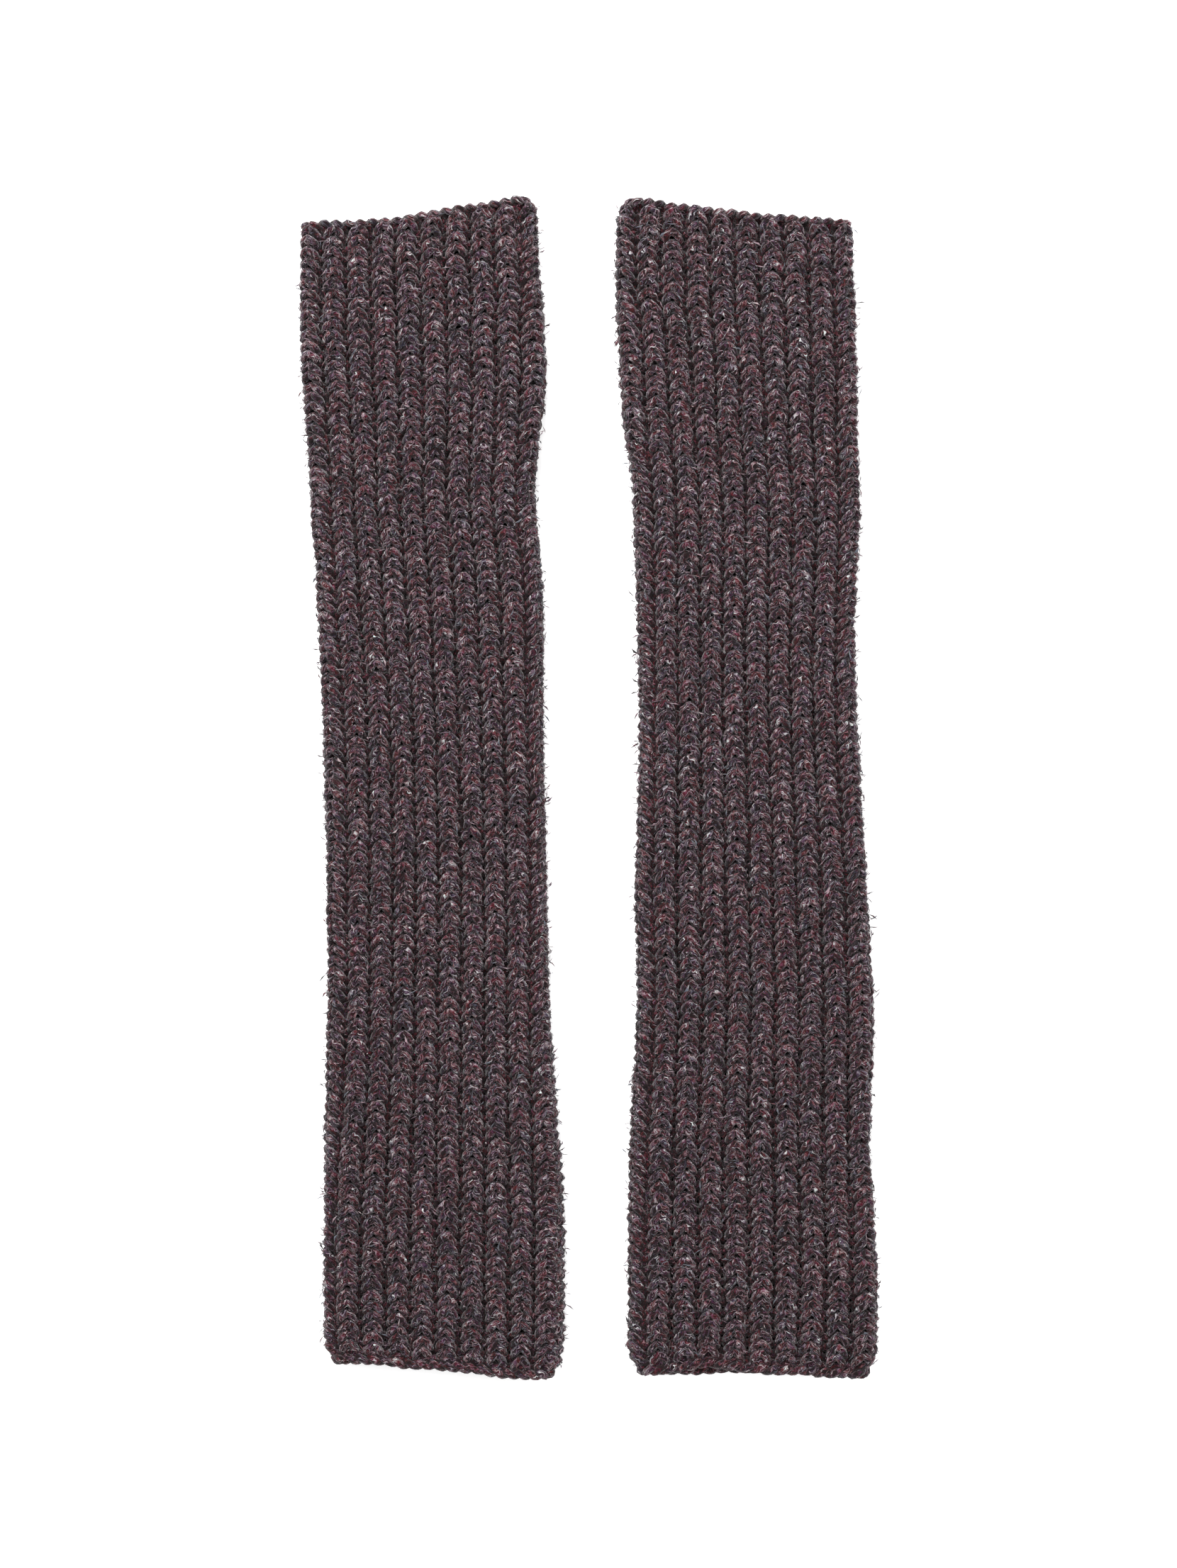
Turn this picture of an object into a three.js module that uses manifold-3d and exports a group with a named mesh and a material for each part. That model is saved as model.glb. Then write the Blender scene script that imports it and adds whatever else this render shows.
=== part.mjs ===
// A pair of long fingerless gloves: two rib-knit sleeves that lie flat, side by side, hand ends at +Y.
// Each sleeve is one knitted panel, folded lengthwise and joined along its thumb side. That seam stops for
// the thumb opening, and a bar tack closes each end of it.
// Millimetres, +Z up, origin under the middle of the pair.
import * as THREE from "three";
import { mergeVertices } from "three/addons/utils/BufferGeometryUtils.js";
import Module from "manifold-3d";

const wasm = await Module();
wasm.setup();

// ---- Driving dimensions ----
const SLEEVE_LENGTH = 422; // hand edge to arm edge, along the middle of a sleeve
const SLEEVE_WIDTH = 84; // a sleeve lying flat, before its edges wander
const PAIR_SPACING = 114; // between the middles of the two sleeves
const FABRIC = 5; // thickness of the knitted wall
const LAYER_GAP = 5.6; // air left between the upper and lower layers
const THUMB_FROM_HAND_EDGE = 41; // hand edge to the start of the thumb opening
const THUMB_LENGTH = 50; // length of the thumb opening along the seam
const THUMB_GAPE = 5; // how far its two edges stand apart
const TACK_LENGTH = 3; // one bar tack, along the seam
const SEAM_CHANNEL = 2.6; // height of the channel that the seam yarn closes
const CLEARANCE = 0.35; // between a seam or tack and the panel

// ---- What follows from them ----
const THICKNESS = 2 * FABRIC + LAYER_GAP;
const THUMB_END = THUMB_FROM_HAND_EDGE + THUMB_LENGTH;
const OVERRUN = 0.03; // how far a cutting solid runs past each mouth, as a share of the length
const LENGTH_STEPS = 36;
const FLAT_STEPS = 8;
const ARC_STEPS = 4;
const BAND_STEP = 2.5; // widest step across a band along the thumb edge

// How a sleeve lies. A row of an edge is [share of the length from the hand end, outward offset]. A row of a
// mouth is [share of the width from the outer edge, offset along the sleeve away from the middle].
const LEFT = {
  name: "left",
  thumbSide: 1,
  thumbEdge: [
    [0, -3.9], [0.05, -3.8], [0.12, -0.5], [0.165, 0.3], [0.2, -1.8], [0.245, -5],
    [0.33, -2.2], [0.46, -1.6], [0.68, 0.5], [0.86, 5.7], [1, 5.6],
  ],
  outerEdge: [[0, 5.6], [0.09, 6.1], [0.2, 3.2], [0.33, -0.3], [0.5, -3], [0.69, -4], [1, -3]],
  handMouth: [[0, -4.6], [0.25, -5.3], [0.52, -2.4], [0.7, 0.4], [0.85, 4.2], [1, 3.4]],
  armMouth: [[0, -1.9], [0.24, -1.7], [0.42, -0.1], [0.6, 2.5], [0.78, 4.8], [1, 3.8]],
};
const RIGHT = {
  name: "right",
  thumbSide: -1,
  thumbEdge: [
    [0, 3.4], [0.05, 4.5], [0.12, 4.5], [0.19, 3.3], [0.225, -0.4], [0.27, -1.9],
    [0.45, -3.9], [0.6, -2.6], [0.69, -3.3], [0.82, -0.5], [1, 0],
  ],
  outerEdge: [
    [0, -3], [0.12, -1.2], [0.25, -0.2], [0.36, -1.8],
    [0.5, 0.8], [0.68, 4.8], [0.8, 4], [0.92, 6.4], [1, 5.8],
  ],
  handMouth: [[0, -5], [0.3, -2.9], [0.57, -1.1], [0.74, 1.4], [0.9, 3.2], [1, 3.7]],
  armMouth: [[0, 2.4], [0.12, 3.5], [0.46, 1.4], [0.64, 3], [0.9, 3], [1, 1]],
};

// A smooth line through [at, value] rows, read at one place. It runs straight on past its ends.
function along(rows, at) {
  const last = rows.length - 1;
  const slope = (i) => {
    const before = rows[Math.max(i - 1, 0)];
    const after = rows[Math.min(i + 1, last)];
    return (after[1] - before[1]) / (after[0] - before[0]);
  };
  if (at <= rows[0][0]) return rows[0][1] + slope(0) * (at - rows[0][0]);
  if (at >= rows[last][0]) return rows[last][1] + slope(last) * (at - rows[last][0]);
  const i = rows.findIndex((row, n) => n < last && at < rows[n + 1][0]);
  const span = rows[i + 1][0] - rows[i][0];
  const u = (at - rows[i][0]) / span;
  const start = (2 * u ** 3 - 3 * u ** 2 + 1) * rows[i][1] + (u ** 3 - 2 * u ** 2 + u) * span * slope(i);
  const end = (3 * u ** 2 - 2 * u ** 3) * rows[i + 1][1] + (u ** 3 - u ** 2) * span * slope(i + 1);
  return start + end;
}

// Where a sleeve's own coordinates lie in the pair: across is signed, + towards the thumb side, and share
// runs from 0 at the hand mouth to 1 at the arm mouth.
function place(glove, across, share) {
  const edge = across > 0 ? glove.thumbEdge : glove.outerEdge;
  const reach = Math.abs(across) + along(edge, share);
  const x = glove.thumbSide * (Math.sign(across) * reach - PAIR_SPACING / 2);
  const widthShare = across / SLEEVE_WIDTH + 0.5;
  const hand = SLEEVE_LENGTH / 2 + along(glove.handMouth, widthShare);
  const arm = -SLEEVE_LENGTH / 2 - along(glove.armMouth, widthShare);
  return [x, THREE.MathUtils.lerp(hand, arm, share)];
}

function solidOf(geometry) {
  geometry.deleteAttribute("normal");
  geometry.deleteAttribute("uv");
  const merged = mergeVertices(geometry, 1e-4);
  const mesh = new wasm.Mesh({
    numProp: 3,
    vertProperties: merged.attributes.position.array,
    triVerts: new Uint32Array(merged.index.array),
  });
  return new wasm.Manifold(mesh);
}

function geometryOf(solid) {
  const { vertProperties, triVerts } = solid.getMesh();
  const geometry = new THREE.BufferGeometry();
  geometry.setAttribute("position", new THREE.BufferAttribute(vertProperties, 3));
  geometry.setIndex(new THREE.BufferAttribute(triVerts, 1));
  geometry.computeVertexNormals();
  return geometry;
}

// Moves every vertex of an extrusion to where a sleeve lies. The right sleeve's map mirrors the shape, so
// its faces are turned back.
function layOut(extrusion, glove, toSleeve) {
  const position = extrusion.attributes.position;
  const vertex = new THREE.Vector3();
  for (let i = 0; i < position.count; i++) {
    vertex.fromBufferAttribute(position, i);
    const [across, share, height] = toSleeve(vertex);
    position.setXYZ(i, ...place(glove, across, share), height);
  }
  if (glove.thumbSide < 0) {
    for (let i = 0; i < position.count; i += 3) {
      const second = new THREE.Vector3().fromBufferAttribute(position, i + 1);
      const third = new THREE.Vector3().fromBufferAttribute(position, i + 2);
      position.setXYZ(i + 1, ...third);
      position.setXYZ(i + 2, ...second);
    }
  }
  return extrusion;
}

// A straight line across an outline, in short steps that can follow a mouth's curve.
function lineAcross(outline, from, to, y, steps) {
  for (let i = 1; i <= steps; i++) {
    outline.lineTo(THREE.MathUtils.lerp(from, to, i / steps), y);
  }
}

// A flattened tube's outline: straight above and below, and half-round at both sides.
function stadium(width, height) {
  const straight = width / 2 - height / 2;
  const outline = new THREE.Shape();
  outline.moveTo(-straight, -height / 2);
  lineAcross(outline, -straight, straight, -height / 2, FLAT_STEPS);
  outline.absarc(straight, 0, height / 2, -Math.PI / 2, Math.PI / 2, false);
  lineAcross(outline, straight, -straight, height / 2, FLAT_STEPS);
  outline.absarc(-straight, 0, height / 2, Math.PI / 2, Math.PI * 1.5, false);
  return outline;
}

// The sleeve's solid, taken in by inset all round and run past both mouths by overrun.
function sleeveSolid(glove, inset, overrun) {
  const outline = stadium(SLEEVE_WIDTH - 2 * inset, THICKNESS - 2 * inset);
  const options = { depth: 1, steps: LENGTH_STEPS, curveSegments: ARC_STEPS, bevelEnabled: false };
  const toSleeve = ({ x, y, z }) => [x, z * (1 + 2 * overrun) - overrun, y + THICKNESS / 2];
  return solidOf(layOut(new THREE.ExtrudeGeometry(outline, options), glove, toSleeve));
}

// A band that follows the thumb edge: from and to are distances from the hand edge, inner and outer are how
// far its sides lie inside the edge, and height is its size up, centred between the layers.
function edgeBand(glove, from, to, inner, outer, height) {
  const across = Math.ceil((inner - outer) / BAND_STEP);
  const outline = new THREE.Shape();
  outline.moveTo(-inner, -height / 2);
  lineAcross(outline, -inner, -outer, -height / 2, across);
  outline.lineTo(-outer, height / 2);
  lineAcross(outline, -outer, -inner, height / 2, across);
  const steps = Math.max(1, Math.round((LENGTH_STEPS * (to - from)) / SLEEVE_LENGTH));
  const options = { depth: to - from, steps, bevelEnabled: false };
  const toSleeve = ({ x, y, z }) => [SLEEVE_WIDTH / 2 + x, (from + z) / SLEEVE_LENGTH, y + THICKNESS / 2];
  return solidOf(layOut(new THREE.ExtrudeGeometry(outline, options), glove, toSleeve));
}

function knitPanel(glove) {
  const beyond = OVERRUN * SLEEVE_LENGTH;
  const channel = edgeBand(glove, -beyond, SLEEVE_LENGTH + beyond, 2 * FABRIC, -FABRIC, SEAM_CHANNEL);
  const thumb = edgeBand(glove, THUMB_FROM_HAND_EDGE, THUMB_END, 2 * FABRIC, -FABRIC, THUMB_GAPE);
  const tube = sleeveSolid(glove, 0, 0).subtract(sleeveSolid(glove, FABRIC, OVERRUN));
  return tube.subtract(channel).subtract(thumb);
}

const yarn = (color) => new THREE.MeshStandardMaterial({ color, roughness: 0.95, metalness: 0 });
const PANEL_YARN = yarn(0x504447);
const SEAM_YARN = yarn(0x5c4b4e);
const TACK_YARN = yarn(0x4a3c3f);

// Yarn sewn between the two edges of the panel, clear of both, between two distances from the hand edge.
function stitching(glove, from, to, channelHeight) {
  return edgeBand(glove, from, to, FABRIC - CLEARANCE, CLEARANCE, channelHeight - 2 * CLEARANCE);
}

function addGlove(pair, glove) {
  const add = (name, solid, material) => {
    const mesh = new THREE.Mesh(geometryOf(solid), material);
    mesh.name = `${glove.name}_${name}`;
    pair.add(mesh);
  };
  const seam = (from, to) => stitching(glove, from + CLEARANCE, to - CLEARANCE, SEAM_CHANNEL);
  const tack = (from) => stitching(glove, from, from + TACK_LENGTH, THUMB_GAPE);
  add("knit_panel", knitPanel(glove), PANEL_YARN);
  add("hand_seam", seam(0, THUMB_FROM_HAND_EDGE), SEAM_YARN);
  add("arm_seam", seam(THUMB_END, SLEEVE_LENGTH), SEAM_YARN);
  add("upper_thumb_tack", tack(THUMB_FROM_HAND_EDGE + CLEARANCE), TACK_YARN);
  add("lower_thumb_tack", tack(THUMB_END - CLEARANCE - TACK_LENGTH), TACK_YARN);
}

// The pair stands on z = 0, and is centred on the origin whatever its edges do.
const pair = new THREE.Group();
addGlove(pair, LEFT);
addGlove(pair, RIGHT);
const middle = new THREE.Box3().setFromObject(pair).getCenter(new THREE.Vector3());
pair.children.forEach((mesh) => mesh.position.set(-middle.x, -middle.y, 0));

export default pair;
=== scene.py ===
# A pair of long rib-knit fingerless gloves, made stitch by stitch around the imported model. Metres, unless a
# name or comment says otherwise.
import math

import bpy
import numpy as np
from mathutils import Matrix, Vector
from mathutils.bvhtree import BVHTree


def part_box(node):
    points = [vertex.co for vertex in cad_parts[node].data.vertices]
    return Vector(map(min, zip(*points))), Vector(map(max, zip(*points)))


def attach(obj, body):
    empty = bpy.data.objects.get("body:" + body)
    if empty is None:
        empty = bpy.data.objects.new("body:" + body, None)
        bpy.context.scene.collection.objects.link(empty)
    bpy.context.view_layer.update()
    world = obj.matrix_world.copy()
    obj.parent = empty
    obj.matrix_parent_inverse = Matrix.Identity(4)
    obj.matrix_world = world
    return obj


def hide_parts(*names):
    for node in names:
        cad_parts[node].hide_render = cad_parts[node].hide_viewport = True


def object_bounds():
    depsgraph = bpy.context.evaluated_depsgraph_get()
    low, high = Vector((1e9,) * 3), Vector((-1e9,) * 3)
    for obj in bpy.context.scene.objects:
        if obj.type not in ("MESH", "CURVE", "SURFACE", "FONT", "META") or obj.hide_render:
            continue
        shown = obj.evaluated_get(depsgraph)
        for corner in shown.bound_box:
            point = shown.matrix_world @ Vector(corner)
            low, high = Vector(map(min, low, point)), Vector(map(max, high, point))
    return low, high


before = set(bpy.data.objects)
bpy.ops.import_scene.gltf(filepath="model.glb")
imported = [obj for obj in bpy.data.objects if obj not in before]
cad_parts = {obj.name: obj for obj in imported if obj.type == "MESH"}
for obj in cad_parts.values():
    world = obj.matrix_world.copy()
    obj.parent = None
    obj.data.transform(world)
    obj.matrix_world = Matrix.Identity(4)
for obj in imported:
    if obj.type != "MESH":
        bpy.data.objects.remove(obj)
CAD_BOX = [list(corner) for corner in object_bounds()]

MM = 0.001
GLOVES = ("left", "right")
THUMB_SIDE = {"left": 1, "right": -1}  # which way along X the thumb seam faces

# ---- The knitting ----
RIBS = 20  # outward ribs round a sleeve
WALES = 2 * RIBS - 1  # an inward column between each two ribs
COURSES = 108
YARN = 2.9 * MM  # yarn thickness
YARN_SIDES = 6
CAST_ON_YARN = 0.85 * YARN
SEAM_YARN = 0.8 * YARN
TACK_YARN = 0.55 * YARN
RIB_FACE = 1.3 * MM  # how far a rib's yarn lies outside the middle of the fabric
EDGE_ROOM = 3.0 * MM  # length left at each mouth for the cast-on or bound-off edge
STITCH_PULL = np.array([0.075, 0.09, 0.22 * MM])  # how far stitches are pulled: wales, courses, outwards
SHARED_PULL = 0.3  # the share of its pull that a stitch takes from the one before it in its column
RIB_WANDER = 0.16  # wales
RIB_WANDER_PERIODS = (0.5, 0.23)  # sleeve lengths
LUMPS = 0.035  # how far the yarn's thickness wanders, as a share of it
LUMP_PERIODS = (5.3, 8.9, 21)  # points along the yarn
UNEVENNESS = 0.04  # and how far each of the yarn's sides wanders by itself
REST_HEIGHT = 0.55 * YARN  # of the yarn's middle, where it lies on the floor
REST_SOFTNESS = 0.15 * MM  # height over which it is pressed up

# ---- Loose fibres. The first of two values or ranges is for loose ones, the second for lying ones. ----
LYING_FIBRES = 10100  # on each region of each glove
LOOSE_FIBRES = 1700
FIBRE = 0.17 * MM  # thickness of a lying fibre where it bends
LOOSE_FINENESS = 0.55  # thickness of a loose one, as a share of that
FIBRE_SPREAD = (0.7, 1.4)  # the thinnest and thickest of either, as shares of it
FIBRE_LENGTHS = (1.6, 4.2), (0.8, 2.2)  # mm
FIBRE_RISES = (0.5, 1.5), (0.12, 0.34)  # mm, from the yarn to the bend
FIBRE_SWINGS = 1.2, 0.7  # radians, how far fibres turn away from the yarn's line, about the next value
FIBRE_SWING_MEAN = 0.3
FIBRE_LEAN = 0.75  # radians, round the yarn
FIBRE_CURL = 0.12  # sideways bend, as a share of the length
FIBRE_SUNK = 0.06 * MM  # depth of its root in the yarn
FIBRE_TIP_SUNK = 0.12 * MM  # and of a lying one's tip
FIBRE_TIP_RISE = 1.3  # height of a loose one's tip, in rises
FIBRE_SOFTNESS = 0.1 * MM  # over which it is pressed up off the floor
FIBRE_FROM = 0.1 * MM  # fibres start on yarn that is further outside the middle of the fabric than this

# ---- Where rays feel the CAD panel ----
FEEL_UP = 3 * MM  # rays to the side edges run this far above the middle, clear of the thumb opening
FEEL_LAYER = 2.5 * MM  # rays to the mouths run at this height, in the lower layer
ROOM_Y = (8 * MM, 12 * MM)  # rays to the side edges stay this far inside the panel's box, at -Y and +Y
ROOM_X = (12 * MM, 16 * MM)  # and rays to the mouths, at -X and +X

# ---- How a sleeve lies ----
EDGE_REACH = 0.5 * MM  # how far the ribs reach past the CAD panel's side edges
HAND_CORNER = 8 * MM  # length over which the corners are rounded, at the hand mouth
ARM_CORNER = 11 * MM
HAND_THUMB_INSET = 3.4  # mm, how far the rounding takes in a corner
HAND_OUTER_INSET = 1.0
ARM_INSET = 2.9
CORNER_POWER = 5  # how closely the rounding keeps to a corner
SAG = 1.7 * MM  # how far the middle of the upper layer hangs below its edges
HEM_BACK = 2.8 * MM  # how far the right glove's upper arm hem draws back at most
HEM_MIDDLE = 42 * MM  # its middle, along X
HEM_SPREAD = 13 * MM
HEM_FROM = 0.95  # the hem draws back after this share of the sleeve
SEAM_GAP = 0.8 * MM  # room between the panel's edges, where the seam closes them
THUMB_GAP = 5.2 * MM  # extra room between them in the middle of the thumb opening
SEAM_UP = {"left": 3.6 * MM, "right": -1.5 * MM}  # how far over the edge the seam lies near the arm mouth
SEAM_TURNS = (0.55, 0.95)  # the shares of the sleeve between which it gets there
SEAM_SWAY = 0.6 * MM  # how far it wanders on the way
SEAM_SWAY_RATE = 9  # radians in a sleeve
SEAM_RAISED = 0.2 * MM  # how far outside the middle of the fabric it is centred
BILLOW = 1.5 * MM  # size of the upper layer's slow waves
BILLOW_PERIODS = (0.31, 0.17, 0.09)  # sleeve lengths
BILLOW_DRIFT = 0.05  # sleeve lengths, how far a wave's crest wanders
DRIFT_PERIODS = (1.3, 0.6)  # sleeve widths
LEAN = 0.35 * MM  # how far the courses wander along the sleeve
LEAN_PERIODS = (0.09, 0.05)  # metres
CAST_ON_BEYOND = 0.28  # courses, how far the cast-on strand lies past the first course
BOUND_OFF_BEYOND = 0.55  # and the two bound-off strands past the last
BOUND_OFF_WITHIN = 0.05  # and the third one short of it
TACK_ENDS = (-0.35, 0.45)  # courses, where a tack starts and stops, from the end of the thumb opening
EDGE_OVERLAP = 0.1  # wales, how far a strand at a mouth runs past the first and last column
EDGE_POINTS = 12  # in each wale
EDGE_WANDER = 0.08  # courses
EDGE_WANDER_PERIODS = (7.0, 3.1)  # wales

# The knitting is made in four regions. Each row is a name, its first course and the course after its last.
REGIONS = (("hand", 0, 27), ("wrist", 27, 54), ("forearm", 54, 81), ("arm_end", 81, 108))

# ---- Seeds. Each glove adds its own THUMB_SIDE to the first four. ----
WANDER_SEED, BILLOW_SEED, DRIFT_SEED, LEAN_SEED = 3, 5, 9, 11
EDGE_SEED = 40
PULL_SEED = {"left": 31, "right": 32}
rng = np.random.default_rng(20)


# ---------------------------------------------------------------- small maths
def smooth_step(low, high, at):
    share = np.clip((at - low) / (high - low), 0, 1)
    return share * share * (3 - 2 * share)


def waves(at, seed, periods, size):
    """A few sine waves of about these periods, with their own phases: slow wandering that never repeats."""
    own = np.random.default_rng(seed)
    total = np.zeros_like(at, dtype=float)
    for period in periods:
        total += np.sin(2 * math.pi * (at / (period * own.uniform(0.85, 1.2)) + own.uniform()))
    return size * total / len(periods)


def catmull_rom(points, steps):
    """Points along smooth lines through control points. points is (lines, controls, 3), and steps says how
    many pieces each interval is cut into."""
    before = np.concatenate([points[:, :1], points[:, :-2]], axis=1)
    start, end = points[:, :-1], points[:, 1:]
    after = np.concatenate([points[:, 2:], points[:, -1:]], axis=1)
    which = np.repeat(np.arange(len(steps)), steps)
    u = np.concatenate([np.arange(n) / n for n in steps])[None, :, None]
    p0, p1, p2, p3 = before[:, which], start[:, which], end[:, which], after[:, which]
    curve = 2 * p1 + (p2 - p0) * u + (2 * p0 - 5 * p1 + 4 * p2 - p3) * u**2
    return 0.5 * (curve + (3 * p1 - p0 - 3 * p2 + p3) * u**3)


# ---------------------------------------------------------------- the sleeve's shape, felt from the panel
class Sleeve:
    """Where fabric lies on one glove. Its coordinates are the wale, the course and the height outside the
    middle of the fabric. Rays find the outline of the CAD panel, so that the knitting follows it."""

    def __init__(self, side):
        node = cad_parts[f"{side}_knit_panel"]
        mesh = node.data
        tree = BVHTree.FromPolygons([v.co for v in mesh.vertices], [p.vertices for p in mesh.polygons])
        low, high = (np.array(corner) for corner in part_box(node.name))
        self.side = side
        self.thumb = THUMB_SIDE[side]
        self.height = high[2]
        self.radius = self.height / 2 - RIB_FACE - YARN / 2
        feel = self.height / 2 + FEEL_UP
        # The side edges are round, so they lie a little further in at that height.
        inset = self.height / 2 - math.sqrt((self.height / 2) ** 2 - FEEL_UP**2)
        self.ys = np.linspace(low[1] + ROOM_Y[0], high[1] - ROOM_Y[1], 60)
        low_hits = [self.felt(tree, (low[0] - 1, y, feel), (1, 0, 0))[0] for y in self.ys]
        high_hits = [self.felt(tree, (high[0] + 1, y, feel), (-1, 0, 0))[0] for y in self.ys]
        self.low_x = np.array(low_hits) - inset
        self.high_x = np.array(high_hits) + inset
        self.xs = np.linspace(low[0] + ROOM_X[0], high[0] - ROOM_X[1], 30)
        hand_hits = [self.felt(tree, (x, high[1] + 1, FEEL_LAYER), (0, -1, 0))[1] for x in self.xs]
        arm_hits = [self.felt(tree, (x, low[1] - 1, FEEL_LAYER), (0, 1, 0))[1] for x in self.xs]
        self.hand_y = np.array(hand_hits)
        self.arm_y = np.array(arm_hits)
        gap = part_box(f"{side}_upper_thumb_tack")[1][1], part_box(f"{side}_lower_thumb_tack")[0][1]
        self.thumb_top, self.thumb_bottom = gap

    @staticmethod
    def felt(tree, start, direction):
        return tree.ray_cast(Vector(start), Vector(direction))[0]

    def edges(self, y):
        """The outer and thumb edges of the fabric's middle at y, as x. Past the ends they run straight."""
        inside = RIB_FACE + YARN / 2 - EDGE_REACH
        low, high = np.interp(y, self.ys, self.low_x) + inside, np.interp(y, self.ys, self.high_x) - inside
        return (low, high) if self.thumb > 0 else (high, low)

    def seam_turn(self, share):
        """How far the seam lies up over the thumb edge, towards the upper layer."""
        turned = SEAM_UP[self.side] * smooth_step(*SEAM_TURNS, share)
        return turned + SEAM_SWAY * np.sin(SEAM_SWAY_RATE * share)

    def seam_gap(self, y):
        """The room between the two edges of the panel: closed by the seam, and open at the thumb."""
        middle = (self.thumb_top + self.thumb_bottom) / 2
        half = (self.thumb_top - self.thumb_bottom) / 2
        reach = np.clip(1 - ((y - middle) / half) ** 2, 0, 1)
        return SEAM_GAP + THUMB_GAP * np.sqrt(reach)

    def go_round(self, along, straight):
        """How far across the sleeve, and at what angle round it, the middle of the fabric is when one has
        gone along from the thumb edge, over the upper layer, round the outer edge and back under. straight
        is the length of each flat layer."""
        r = self.radius
        quarter = math.pi * r / 2
        half_width = straight / 2
        turn_1 = along / r
        turn_2 = (along - quarter - straight) / r
        turn_3 = (along - 3 * quarter - 2 * straight) / r
        on_1 = along < quarter
        on_top = (along >= quarter) & (along < quarter + straight)
        on_outer = (along >= quarter + straight) & (along < 3 * quarter + straight)
        on_under = (along >= 3 * quarter + straight) & (along < 3 * quarter + 2 * straight)
        angle = np.select(
            [on_1, on_top, on_outer, on_under],
            [turn_1, math.pi / 2, math.pi / 2 + turn_2, 1.5 * math.pi],
            1.5 * math.pi + turn_3,
        )
        across = np.select(
            [on_1, on_top, on_outer, on_under],
            [
                half_width,
                half_width - (along - quarter),
                -half_width,
                along - 3 * quarter - straight - half_width,
            ],
            half_width,
        )
        return across, angle

    def lay(self, wale, course, height):
        """Places in space for arrays of wale, course and height."""
        share = course / COURSES
        middle_x = (self.xs[0] + self.xs[-1]) / 2
        rough_hand = np.interp(middle_x, self.xs, self.hand_y)
        rough_arm = np.interp(middle_x, self.xs, self.arm_y)
        rough_y = rough_hand * (1 - share) + rough_arm * share
        outer, thumb = self.edges(rough_y)
        width = np.abs(thumb - outer)
        centre = (thumb + outer) / 2
        r = self.radius
        straight = width - 2 * r
        girth = 2 * straight + 2 * math.pi * r
        gap = self.seam_gap(rough_y)
        along = gap / 2 + (wale / WALES) * (girth - gap) + self.seam_turn(share)
        across, angle = self.go_round(along % girth, straight)
        out = r + height
        across = across + out * np.cos(angle)
        up = self.height / 2 + out * np.sin(angle)
        upper = np.clip(np.sin(angle), 0, 1)
        span = np.clip(1 - (across / (width / 2)) ** 2, 0, 1)
        drift = share + BILLOW_DRIFT * waves(across / width, DRIFT_SEED + self.thumb, DRIFT_PERIODS, 1.0)
        sag = SAG * span + waves(drift, BILLOW_SEED + self.thumb, BILLOW_PERIODS, BILLOW) * span
        up = up - sag * upper
        x = centre + self.thumb * across
        lean = waves(x, LEAN_SEED + self.thumb, LEAN_PERIODS, LEAN)
        hand = np.interp(x, self.xs, self.hand_y) - EDGE_ROOM
        arm = np.interp(x, self.xs, self.arm_y) + EDGE_ROOM
        y = hand * (1 - share) + arm * share + lean
        # The corners of the mouths are rounded.
        reach = across / (width / 2)
        hand_left = 1 - np.clip((hand + EDGE_ROOM - y) / HAND_CORNER, 0, 1)
        arm_left = 1 - np.clip((y - arm + EDGE_ROOM) / ARM_CORNER, 0, 1)
        hand_inset = np.where(reach > 0, HAND_THUMB_INSET, HAND_OUTER_INSET) * MM
        inset = hand_inset * hand_left**2 + ARM_INSET * MM * arm_left**2
        x = x - self.thumb * np.sign(reach) * np.abs(reach) ** CORNER_POWER * inset
        # The upper layer's hem draws back over part of the right glove's arm mouth.
        if self.side == "right":
            over = np.exp(-(((x - HEM_MIDDLE) / HEM_SPREAD) ** 2))
            y = y + HEM_BACK * upper * over * smooth_step(HEM_FROM, 1.0, share)
        return np.stack([x, y, up], axis=-1)


def rested(points, floor, softness):
    """The same points, with those that would sink below the floor pressed up onto it."""
    pressed = points.copy()
    pressed[..., 2] = floor + softness * np.logaddexp(0, (points[..., 2] - floor) / softness)
    return pressed


# ---------------------------------------------------------------- yarn as mesh
def sweep_frames(points):
    """Two directions square to the line at every point, carried along it without twisting."""
    tangents = np.gradient(points, axis=0)
    tangents /= np.linalg.norm(tangents, axis=1)[:, None]
    first = np.cross(tangents[0], (0.0, 0.0, 1.0))
    if np.linalg.norm(first) < 0.1:
        first = np.cross(tangents[0], (1.0, 0.0, 0.0))
    nx, ny, nz = first / np.linalg.norm(first)
    normals = np.empty_like(points)
    for i, (tx, ty, tz) in enumerate(tangents.tolist()):
        dot = nx * tx + ny * ty + nz * tz
        nx, ny, nz = nx - dot * tx, ny - dot * ty, nz - dot * tz
        size = math.sqrt(nx * nx + ny * ny + nz * nz)
        nx, ny, nz = nx / size, ny / size, nz / size
        normals[i] = nx, ny, nz
    return normals, np.cross(tangents, normals)


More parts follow.
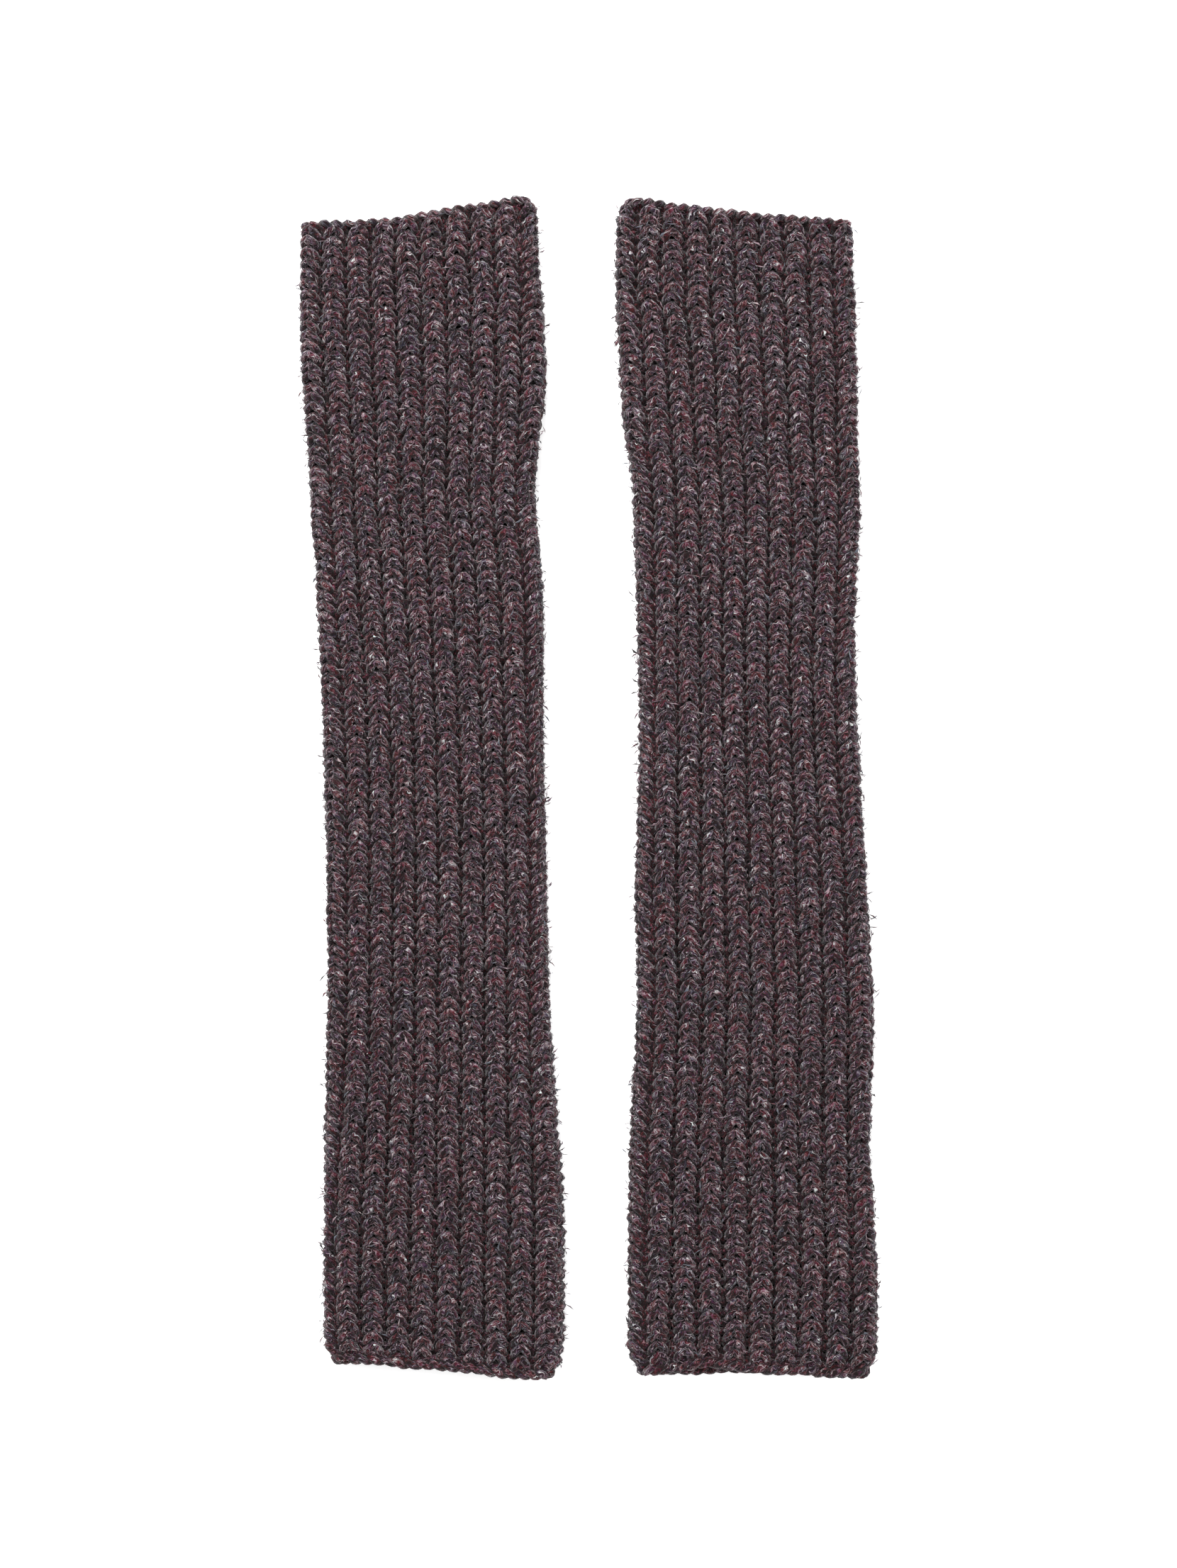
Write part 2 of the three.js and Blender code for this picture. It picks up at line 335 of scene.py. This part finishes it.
def yarn_arrays(points, radius, start_length):
    """Vertices, quads and (along, round) coordinates for one closed tube of yarn along points."""
    normals, sideways = sweep_frames(points)
    sides = YARN_SIDES
    turn = np.arange(sides) / sides * 2 * math.pi
    ring = np.cos(turn)[None, :, None] * normals[:, None] + np.sin(turn)[None, :, None] * sideways[:, None]
    verts = (points[:, None] + radius[..., None] * ring).reshape(-1, 3)
    steps = len(points)
    i, j = np.arange(steps - 1)[:, None], np.arange(sides)[None, :]
    nxt = (j + 1) % sides
    quads = np.stack([i * sides + j, i * sides + nxt, (i + 1) * sides + nxt, (i + 1) * sides + j], -1)
    pieces = np.linalg.norm(np.diff(points, axis=0), axis=1)
    length = start_length + np.concatenate([[0], np.cumsum(pieces)])
    u0, u1 = np.broadcast_arrays(length[:-1, None], j)[0], np.broadcast_arrays(length[1:, None], j)[0]
    v0 = np.broadcast_to(j / sides, u0.shape)
    v1 = v0 + 1 / sides
    coords = np.stack([np.stack(c, -1) for c in ((u0, v0), (u0, v1), (u1, v1), (u1, v0))], 2)
    return verts, quads.reshape(-1, 4), coords.reshape(-1, 4, 2)


def mesh_piece(name, verts, faces, materials, caps=(), coords=None, outward=None, slots=None):
    """One smooth object from faces of one size and end caps. coords is the yarn's own (along, round) at
    every face corner, and outward says how far each vertex lies outside the middle of the fabric."""
    mesh = bpy.data.meshes.new(name)
    sizes = np.concatenate([np.full(len(faces), faces.shape[1]), [len(cap) for cap in caps]])
    sizes = sizes.astype(np.int32)
    corners = np.concatenate([faces.ravel(), *caps]).astype(np.int32)
    mesh.vertices.add(len(verts))
    mesh.vertices.foreach_set("co", verts.astype(np.float32).ravel())
    mesh.loops.add(len(corners))
    mesh.loops.foreach_set("vertex_index", corners)
    mesh.polygons.add(len(sizes))
    mesh.polygons.foreach_set("loop_start", np.concatenate([[0], np.cumsum(sizes)[:-1]]).astype(np.int32))
    mesh.polygons.foreach_set("use_smooth", np.ones(len(sizes), bool))
    mesh.update(calc_edges=True)
    if coords is not None:
        flat = np.zeros((len(corners), 2), np.float32)
        flat[: coords.size // 2] = coords.reshape(-1, 2)
        mesh.uv_layers.new(name="yarn").data.foreach_set("uv", flat.ravel())
    if outward is not None:
        # The wool's shader paints shade from this: darker and redder deeper in the fabric.
        layer = mesh.attributes.new("outward", "FLOAT", "POINT")
        layer.data.foreach_set("value", outward.astype(np.float32))
    for material in materials:
        mesh.materials.append(material)
    if slots is not None:
        mesh.polygons.foreach_set("material_index", slots.astype(np.int32))
    piece = bpy.data.objects.new(name, mesh)
    bpy.context.collection.objects.link(piece)
    return piece


def yarn_piece(name, strands, thickness, wool):
    """One object of one or more closed strands of yarn. A strand is an array of points, and an array that
    says how far outside the middle of the fabric each of them lies."""
    all_verts, all_quads, all_coords, all_outward, caps = [], [], [], [], []
    count, length = 0, 0.0
    for points, outward in strands:
        lumps = waves(np.arange(len(points)), len(all_verts) + len(name), LUMP_PERIODS, LUMPS)
        jitter = rng.normal(0, UNEVENNESS, (len(points), YARN_SIDES))
        radius = thickness / 2 * (1 + lumps[:, None] + jitter)
        verts, quads, coords = yarn_arrays(points, radius, length)
        last = count + len(verts)
        caps.append(np.arange(count, count + YARN_SIDES)[::-1])
        caps.append(np.arange(last - YARN_SIDES, last))
        all_verts.append(verts)
        all_quads.append(quads + count)
        all_coords.append(coords)
        all_outward.append(np.repeat(outward / MM, YARN_SIDES))
        length = coords[-1, -1, 0] + 10 * MM  # the next strand's marl starts further along
        count = last
    parts = (all_verts, all_quads, all_coords, all_outward)
    verts, quads, coords, outward = (np.concatenate(part) for part in parts)
    return mesh_piece(name, verts, quads, [wool], caps, coords, outward)


# ---------------------------------------------------------------- stitches
# Half of each stitch, from its foot between two columns to the top of its head, in millimetres: across,
# along the sleeve, and outwards. The other half mirrors it. The sizes fit one course of COURSE_STEP by one
# column of WALE_STEP.
COURSE_STEP = 3.95
WALE_STEP = 4.1
RIB_STITCH = (
    (-2.05, -0.3, -1.2),
    (-1.0, -0.35, -1.0),
    (-0.3, 0.05, 0.2),
    (-0.55, 0.6, 1.4),
    (-1.35, 1.45, 1.65),
    (-2.1, 2.6, 1.15),
    (-2.4, 3.7, 0.2),
    (-1.9, 4.6, -0.9),
    (-0.95, 5.05, -1.4),
    (0.0, 5.2, -1.5),
)
RIB_STITCH_STEPS = (1, 1, 1, 2, 2, 1, 1, 1, 1)
INNER_STITCH = ((-0.8, 0.2, -0.8), (-1.3, 2.3, -1.4), (-1.4, 4.0, -1.3), (0.0, 5.0, -1.0))
INNER_STITCH_STEPS = (1, 1, 1)


def mirrored(half):
    return list(half) + [(-x, y, z) for x, y, z in reversed(half[:-1])]


def course_controls():
    """Control points of one whole course, and the steps of each interval between them."""
    rib, inner = mirrored(RIB_STITCH), mirrored(INNER_STITCH)
    rib_steps = list(RIB_STITCH_STEPS) + list(reversed(RIB_STITCH_STEPS))
    inner_steps = list(INNER_STITCH_STEPS) + list(reversed(INNER_STITCH_STEPS))
    points, steps, stitch = [], [], []
    for wale in range(WALES):
        shape = inner if wale % 2 else rib
        points += [(x / WALE_STEP + wale + 0.5, y / COURSE_STEP, z * MM) for x, y, z in shape]
        stitch += [wale] * len(shape)
        steps += (inner_steps if wale % 2 else rib_steps) + [1]
    return np.array(points), steps[:-1], np.array(stitch)


def stitch_noise(side, courses, wales):
    """Every stitch is pulled a little out of place, and its neighbours in a column partly go with it."""
    own = np.random.default_rng(PULL_SEED[side])
    pull = own.normal(0, 1, (COURSES, WALES, 3))
    pull = (1 - SHARED_PULL) * pull + SHARED_PULL * np.roll(pull, 1, axis=0)
    return pull[courses][:, wales] * STITCH_PULL


def knit_region(sleeve, name, first, last, wool):
    """The courses from first to last as one continuous yarn, which turns back after every course. Returns
    its piece, its points, the directions out of the fabric there, and which points fibres may start at."""
    controls, steps, stitch = course_controls()
    courses = np.arange(first, last)
    lines = np.repeat(controls[None], len(courses), axis=0)
    lines[:, :, 1] += courses[:, None]
    lines += stitch_noise(sleeve.side, courses, stitch)
    wander = waves(lines[:, :, 1] / COURSES, WANDER_SEED + sleeve.thumb, RIB_WANDER_PERIODS, RIB_WANDER)
    lines[:, :, 0] += wander * np.sin(math.pi * np.clip(lines[:, :, 0] / WALES, 0, 1))
    fabric = catmull_rom(lines, steps)
    fabric = np.concatenate([fabric, lines[:, -1:]], axis=1)
    fabric[1::2] = fabric[1::2, ::-1]
    points = sleeve.lay(fabric[..., 0], fabric[..., 1], fabric[..., 2]).reshape(-1, 3)
    above = sleeve.lay(fabric[..., 0], fabric[..., 1], fabric[..., 2] + MM).reshape(-1, 3)
    outward = (above - points) / MM
    points = rested(points, REST_HEIGHT, REST_SOFTNESS)
    strand = points, fabric[..., 2].ravel()
    knit = yarn_piece(f"{sleeve.side}_{name}_knit", [strand], YARN, wool)
    starts = np.flatnonzero(fabric[..., 2].ravel() > FIBRE_FROM)
    return knit, points, outward, starts


def edge_strand(sleeve, course, turns_per_wale, bulge, depth, phase=0.0):
    """A strand wound along a mouth: bulge is how far it swings along the sleeve, in courses, and depth how
    far it swings through the fabric."""
    wale = np.linspace(-EDGE_OVERLAP, WALES + EDGE_OVERLAP, WALES * EDGE_POINTS)
    turn = 2 * math.pi * wale * turns_per_wale + phase
    lie = course + bulge * np.cos(turn) + waves(wale, EDGE_SEED, EDGE_WANDER_PERIODS, EDGE_WANDER)
    height = depth * np.sin(turn)
    return rested(sleeve.lay(wale, lie, height), REST_HEIGHT, REST_SOFTNESS), height


def seam_strand(sleeve, first, last, turns_per_course, reach, depth, steps_per_turn=8):
    """A strand whipped round the two edges of the panel from one course to another. reach is how far it
    swings across the edges, in wales, and depth how far it swings through the fabric."""
    turns = (last - first) * turns_per_course
    turn = np.linspace(0, 2 * math.pi * turns, int(turns * steps_per_turn) + 1)
    course = first + (last - first) * turn / turn[-1]
    height = depth * np.sin(turn) + SEAM_RAISED
    return sleeve.lay(reach * np.cos(turn), course, height), height


# ---------------------------------------------------------------- loose fibres
def fibres(name, points, outward, starts, materials):
    """Fine pointed fibres that start on the yarn's outer side. Most lie along it in a low arch, and the
    rest stand off. A fibre has a point at each end and one bend, which is enough at this size."""
    count = LYING_FIBRES + LOOSE_FIBRES
    at = np.clip(rng.choice(starts, count), 1, len(points) - 2)
    along = points[at + 1] - points[at - 1]
    along /= np.linalg.norm(along, axis=1)[:, None]
    out = outward[at] - along * np.sum(outward[at] * along, axis=1)[:, None]
    out /= np.linalg.norm(out, axis=1)[:, None] + 1e-9
    lean = rng.normal(0, FIBRE_LEAN, count)[:, None]
    face = out * np.cos(lean) + np.cross(along, out) * np.sin(lean)
    side = np.cross(along, face)
    stands = (np.arange(count) >= LYING_FIBRES)[:, None]

    def drawn(loose_range, lying_range):
        """A size for every fibre, from the range of its kind, in millimetres."""
        loose_sizes = rng.uniform(*loose_range, (count, 1))
        return np.where(stands, loose_sizes, rng.uniform(*lying_range, (count, 1))) * MM

    swing = rng.normal(FIBRE_SWING_MEAN, np.where(stands, *FIBRE_SWINGS), (count, 1))
    heading = (along * np.cos(swing) + side * np.sin(swing)) * rng.choice((-1, 1), (count, 1))
    length = drawn(*FIBRE_LENGTHS)
    rise = drawn(*FIBRE_RISES)
    step = np.linalg.norm(points[at + 1] - points[at], axis=1)[:, None]
    root = points[at] + along * rng.uniform(-0.5, 0.5, (count, 1)) * step + face * (YARN / 2 - FIBRE_SUNK)
    curl = rng.normal(0, FIBRE_CURL, (count, 1)) * length
    middle = root + heading * length * 0.5 + face * rise + side * curl
    end = root + heading * length + face * np.where(stands, rise * FIBRE_TIP_RISE, -FIBRE_TIP_SUNK)
    thick = FIBRE / 2 * rng.uniform(*FIBRE_SPREAD, (count, 1)) * np.where(stands, LOOSE_FINENESS, 1.0)
    across = np.cross(heading, face)
    verts = np.stack([root, middle + thick * across, middle - thick * across, end], axis=1).reshape(-1, 3)
    verts = rested(verts, 0.0, FIBRE_SOFTNESS)
    tris = np.array([(0, 1, 2), (3, 2, 1), (0, 3, 1), (0, 2, 3)])
    faces = (tris[None] + np.arange(count)[:, None, None] * 4).reshape(-1, 3)
    slots = np.repeat(rng.choice(len(materials), count, p=FIBRE_SHARES), len(tris))
    return mesh_piece(name, verts, faces, materials, slots=slots)


# ---------------------------------------------------------------- materials
class Socket:
    """One output of a shader node. Arithmetic on it adds Math nodes."""

    def __init__(self, tree, socket):
        self.tree = tree
        self.socket = socket

    def math(self, operation, a, b=None):
        node = self.tree.nodes.new("ShaderNodeMath")
        node.operation = operation
        for slot, value in zip(node.inputs, (a, b)):
            if isinstance(value, Socket):
                self.tree.links.new(value.socket, slot)
            elif value is not None:
                slot.default_value = value
        return Socket(self.tree, node.outputs[0])

    def output(self, name):
        """Another output of the same node."""
        return Socket(self.tree, self.socket.node.outputs[name])

    def __add__(self, other):
        return self.math("ADD", self, other)

    __radd__ = __add__

    def __sub__(self, other):
        return self.math("SUBTRACT", self, other)

    def __rsub__(self, other):
        return self.math("SUBTRACT", other, self)

    def __mul__(self, other):
        return self.math("MULTIPLY", self, other)

    __rmul__ = __mul__

    def cos(self):
        return self.math("COSINE", self)

    def sin(self):
        return self.math("SINE", self)


class Shader:
    """One material's nodes."""

    def __init__(self, name):
        self.material = bpy.data.materials.new(name)
        self.material.use_nodes = True
        self.tree = self.material.node_tree
        self.surface = next(n for n in self.tree.nodes if n.type == "BSDF_PRINCIPLED")

    def node(self, kind, settings=None, **inputs):
        """Adds a node and gives its first output. Settings are set first, among them a ramp's stops, and
        then its sockets' values or links. A socket goes by its name, with _ for spaces, or by its number,
        as in _0."""
        node = self.tree.nodes.new(f"ShaderNode{kind}")
        for key, value in (settings or {}).items():
            if key == "stops":
                self.set_stops(node.color_ramp, value)
            else:
                setattr(node, key, value)
        for key, value in inputs.items():
            number = key.lstrip("_")
            self.put(node.inputs[int(number) if number.isdigit() else key.replace("_", " ")], value)
        return Socket(self.tree, node.outputs[0])

    def set_stops(self, ramp, stops):
        while len(ramp.elements) < len(stops):
            ramp.elements.new(0.5)
        for element, (place, colour) in zip(ramp.elements, stops):
            element.position = place
            element.color = (*colour, 1)

    def put(self, slot, value):
        if isinstance(value, Socket):
            self.tree.links.new(value.socket, slot)
        else:
            slot.default_value = value

    def finish(self, **values):
        for key, value in values.items():
            self.put(self.surface.inputs[key.replace("_", " ")], value)
        return self.material


def linear(*rgb):
    """A colour given as 0 to 255, as a shader wants it."""
    return tuple(((c / 255 + 0.055) / 1.055) ** 2.4 if c > 10 else c / 255 / 12.92 for c in rgb)


# The marl's colour is made before the gamma: one grey shade, with a hue added to it. Sizes are in mm.
GAMMA = 2.2
DARKEST = (0.085, 0.03, 0.042)
TUFT = (1.8, 0.55)  # length along the yarn and width across it
FINE_FIBRE = (1.2, 0.34)
DYE_PATCH = (7.0, 3.0)
SLOW_LENGTH = 45  # of yarn over which the dye changes slowly
TWIST = 0.3  # radians of twist in a millimetre of yarn
TWIST_SWAY = 2.8  # radians by which it wanders
SWAY_RATE = (0.8, 4.0)  # how fast it wanders: along the yarn and round it
DYE_CELLS = 0.6  # scale of the cells in which fine fibres share one dye
FULL_PAINTED_SHADE_AT, NO_PAINTED_SHADE_AT = -1.5, 1.2  # how far outside the middle of the fabric wool lies where painted shade is full, and where it ends
# How much each adds to the grey shade. The last is painted shade, darkening wool that lies deep between the
# ribs.
TUFT_SHADE, FINE_SHADE, SLOW_SHADE, PAINTED_SHADE_STRENGTH = 1.55, 1.3, 0.34, 0.25
DIMMED = 0.228
# How much each moves the hue along HUES. The last is painted shade, moving wool that lies deep between the
# ribs towards burgundy.
PATCH_HUE, SLOW_HUE, CELL_HUE, PAINTED_SHADE_HUE = 1.3, 0.5, 0.55, 0.14
HUE_START = -0.56
HUE_STRENGTH = 1.86  # of black wool deep in the fabric, in full painted shade
HUE_FADE, PAINTED_SHADE_HUE_FADE = 2.9, 0.2  # how much weaker a hue is as the grey shade rises, painted shade included, and further out of the painted shade, so that painted shade is redder

# How much redder and bluer than green a fibre is: slate, plum, mauve, brown, burgundy.
HUES = (
    (0.0, (0.0, 0, 0.036)),
    (0.2, (0.044, 0, 0.048)),
    (0.38, (0.082, 0, 0.052)),
    (0.52, (0.1, 0, 0.034)),
    (0.66, (0.112, 0.004, 0.008)),
    (0.82, (0.126, 0, 0.03)),
    (1.0, (0.14, 0, 0.056)),
)


def marl_wool(name, light=1.0):
    """Loosely twisted wool of many dyed fibres. Tufts and fibres run along the yarn's own coordinates,
    turning round it with the twist. Wool that lies deep between the ribs is painted darker and redder, as
    painted shade."""
    m = Shader(name)
    on_yarn = m.node("SeparateXYZ", Vector=m.node("UVMap", {"uv_map": "yarn"}))
    along = on_yarn.output("X") * (1 / MM)
    around = on_yarn.output("Y")
    sway_place = m.node("CombineXYZ", X=along * SWAY_RATE[0], Y=around * SWAY_RATE[1])
    sway = m.node("TexNoise", Vector=sway_place, Scale=1.0, Detail=1.0)
    angle = around * (2 * math.pi) + along * TWIST + sway * TWIST_SWAY

    def streaks(length, width, detail):
        """Noise in which one fibre is this long along the yarn and this wide across it, and its place."""
        size = YARN / MM / 2 / width
        place = m.node("CombineXYZ", X=along * (1 / length), Y=angle.cos() * size, Z=angle.sin() * size)
        return m.node("TexNoise", Vector=place, Scale=1.0, Detail=detail), place

    tuft = streaks(*TUFT, 1.0)[0]
    fine, place = streaks(*FINE_FIBRE, 0.0)
    patch = streaks(*DYE_PATCH, 1.0)[0]
    slow_place = m.node("CombineXYZ", X=along * (1 / SLOW_LENGTH))
    slow = m.node("TexNoise", Vector=slow_place, Scale=1.0, Detail=1.0)
    cells = m.node("TexVoronoi", {"voronoi_dimensions": "3D"}, Vector=place, Scale=DYE_CELLS)
    cell = m.node("SeparateXYZ", Vector=cells.output("Color")).output("X")
    outward = m.node("Attribute", {"attribute_name": "outward"}).output("Fac")
    # Painted shade: this runs from 0 deep between the ribs to 1 far out, and makes deep wool darker and
    # redder.
    painted_light_share = m.node("MapRange", {"clamp": True}, Value=outward, From_Min=FULL_PAINTED_SHADE_AT, From_Max=NO_PAINTED_SHADE_AT)
    place_in_hues = patch * PATCH_HUE + slow * SLOW_HUE + cell * CELL_HUE + HUE_START - painted_light_share * PAINTED_SHADE_HUE
    hue = m.node("ValToRGB", {"stops": HUES}, Fac=place_in_hues)
    streaky = (tuft - 0.5) * TUFT_SHADE + (fine - 0.5) * FINE_SHADE + (slow - 0.5) * SLOW_SHADE
    shade = (streaky - DIMMED + painted_light_share * PAINTED_SHADE_STRENGTH) * light
    strength = HUE_STRENGTH - shade * HUE_FADE - painted_light_share * PAINTED_SHADE_HUE_FADE
    hue = m.node("VectorMath", {"operation": "SCALE"}, _0=hue, Scale=strength)
    grey = m.node("CombineXYZ", X=shade, Y=shade, Z=shade)
    wool = m.node("VectorMath", {"operation": "ADD"}, _0=grey, _1=hue)
    wool = m.node("VectorMath", {"operation": "MAXIMUM"}, _0=wool, _1=DARKEST)
    colour = m.node("Gamma", Color=wool, Gamma=GAMMA)
    bump = m.node("Bump", Strength=0.8, Distance=0.0004, Height=tuft * 0.6 + fine)
    return m.finish(
        Base_Color=colour, Roughness=0.95, Normal=bump, Specular_IOR_Level=0.15, Sheen_Weight=0.2,
        Sheen_Roughness=0.5,
    )


def fibre_wool(name, colour):
    """One loose fibre's dye. A fibre is too fine to show any pattern of its own."""
    return Shader(name).finish(
        Base_Color=(*colour, 1), Roughness=0.8, Specular_IOR_Level=0.3, Sheen_Weight=0.3
    )


FIBRE_DYES = (
    ("burgundy", linear(86, 48, 54)),
    ("wine", linear(42, 18, 24)),
    ("slate", linear(68, 71, 81)),
    ("plum", linear(84, 62, 76)),
    ("rose_grey", linear(122, 100, 108)),
    ("dust", linear(140, 124, 126)),
    ("charcoal", linear(24, 14, 19)),
)
FIBRE_SHARES = (0.13, 0.17, 0.17, 0.13, 0.19, 0.04, 0.17)


def dress(piece, side, slot, *nodes):
    """Every piece moves with its glove, and may stand for CAD nodes, which it hides. slot is not used."""
    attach(piece, f"{side}_glove")
    if nodes:
        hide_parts(*nodes)


def make_knitting(sleeve, wool, dyes):
    side = sleeve.side
    for name, first, last in REGIONS:
        knit, points, outward, starts = knit_region(sleeve, name, first, last, wool)
        dress(knit, side, "panel_yarn", f"{side}_knit_panel")
        fuzz = fibres(f"{side}_{name}_fibres", points, outward, starts, dyes)
        dress(fuzz, side, "panel_yarn")


def make_edges(sleeve, wool):
    """The cast-on strand at the hand mouth. At the arm mouth, two crossing strands and a straighter one."""
    side = sleeve.side
    cast_on = edge_strand(sleeve, -CAST_ON_BEYOND, turns_per_wale=1, bulge=0.14, depth=1.7 * MM)
    edge = yarn_piece(f"{side}_cast_on_edge", [cast_on], CAST_ON_YARN, wool)
    dress(edge, side, "panel_yarn", f"{side}_knit_panel")
    beyond = COURSES + BOUND_OFF_BEYOND
    bound_off = [
        edge_strand(sleeve, beyond, turns_per_wale=0.5, bulge=0.22, depth=1.3 * MM, phase=phase)
        for phase in (0, math.pi)
    ]
    within = COURSES - BOUND_OFF_WITHIN
    bound_off.append(edge_strand(sleeve, within, turns_per_wale=0.5, bulge=0.1, depth=0.4 * MM))
    edge = yarn_piece(f"{side}_bound_off_edge", bound_off, YARN, wool)
    dress(edge, side, "panel_yarn", f"{side}_knit_panel")


def make_seams(sleeve, seam_wool, tack_wool):
    side = sleeve.side
    courses_per_metre = COURSES / (sleeve.hand_y.mean() - sleeve.arm_y.mean())
    hand_corner = sleeve.hand_y[-1 if sleeve.thumb > 0 else 0]
    slit_start = (hand_corner - sleeve.thumb_top) * courses_per_metre
    slit_end = (hand_corner - sleeve.thumb_bottom) * courses_per_metre
    for name, first, last in (("hand", 0.0, slit_start), ("arm", slit_end, COURSES)):
        strand = seam_strand(sleeve, first, last, turns_per_course=1, reach=0.42, depth=1.75 * MM)
        seam = yarn_piece(f"{side}_{name}_seam_yarn", [strand], SEAM_YARN, seam_wool)
        dress(seam, side, "seam_yarn", f"{side}_{name}_seam")
    for name, middle in (("upper", slit_start), ("lower", slit_end)):
        first, last = middle + TACK_ENDS[0], middle + TACK_ENDS[1]
        strand = seam_strand(
            sleeve, first, last, turns_per_course=6, reach=0.75, depth=1.9 * MM, steps_per_turn=10
        )
        tack = yarn_piece(f"{side}_{name}_tack_yarn", [strand], TACK_YARN, tack_wool)
        dress(tack, side, "tack_yarn", f"{side}_{name}_thumb_tack")


def main():
    knit_wool = marl_wool("panel_marl_wool")
    seam_wool = marl_wool("seam_marl_wool", light=1.2)
    tack_wool = marl_wool("tack_marl_wool", light=0.9)
    dyes = [fibre_wool(f"{name}_fibre", colour) for name, colour in FIBRE_DYES]
    for side in GLOVES:
        sleeve = Sleeve(side)
        make_knitting(sleeve, knit_wool, dyes)
        make_edges(sleeve, knit_wool)
        make_seams(sleeve, seam_wool, tack_wool)
    stage()


# ---------------------------------------------------------------- floor, light and camera
FLOOR_SIZE = 6
FLOOR_BELOW = 0.2 * MM  # the floor lies this far below the gloves
SKY = 0.85  # strength of the light from all round
# The lamps: name, place, size and power in watts. Both face the middle of the pair.
LAMPS = (("key", (-0.4, 1.25, 0.95), 0.8, 42), ("fill", (1.1, -0.5, 1.5), 1.2, 17))
VIEW_LENGTH = 0.5696  # how much the camera sees along the gloves
VIEW_DISTANCE = 2.4
VIEW_UP = 0.95 * MM  # how far the camera stands towards the hand ends
VIEW_PLANE = 12 * MM  # height at which VIEW_LENGTH is measured


def stage():
    bpy.ops.object.select_all(action="DESELECT")
    bpy.ops.mesh.primitive_plane_add(size=FLOOR_SIZE, location=(0, 0, -FLOOR_BELOW))
    floor = bpy.context.object
    floor.name = "floor"
    paint = Shader("floor_paint")
    finish = paint.finish(
        Base_Color=(0.9, 0.9, 0.9, 1), Roughness=0.9, Emission_Color=(1, 1, 1, 1), Emission_Strength=0.25
    )
    floor.data.materials.append(finish)
    scene = bpy.context.scene
    world = bpy.data.worlds.new("studio")
    scene.world = world
    world.use_nodes = True
    sky = world.node_tree.nodes["Background"].inputs
    sky["Color"].default_value = (1, 1, 1, 1)
    sky["Strength"].default_value = SKY
    for name, place, size, power in LAMPS:
        lamp = bpy.data.lights.new(name, "AREA")
        lamp.size = size
        lamp.energy = power
        light = bpy.data.objects.new(name, lamp)
        light.location = place
        light.rotation_euler = (-Vector(place)).to_track_quat("-Z", "Y").to_euler()
        scene.collection.objects.link(light)
    low, high = CAD_BOX
    camera = bpy.data.cameras.new("camera")
    camera.lens = camera.sensor_width * VIEW_DISTANCE / VIEW_LENGTH
    eye = bpy.data.objects.new("camera", camera)
    middle_x, middle_y = (low[0] + high[0]) / 2, (low[1] + high[1]) / 2
    eye.location = (middle_x, middle_y + VIEW_UP, VIEW_PLANE + VIEW_DISTANCE)
    scene.collection.objects.link(eye)
    scene.camera = eye
    scene.view_settings.view_transform = "Standard"


main()
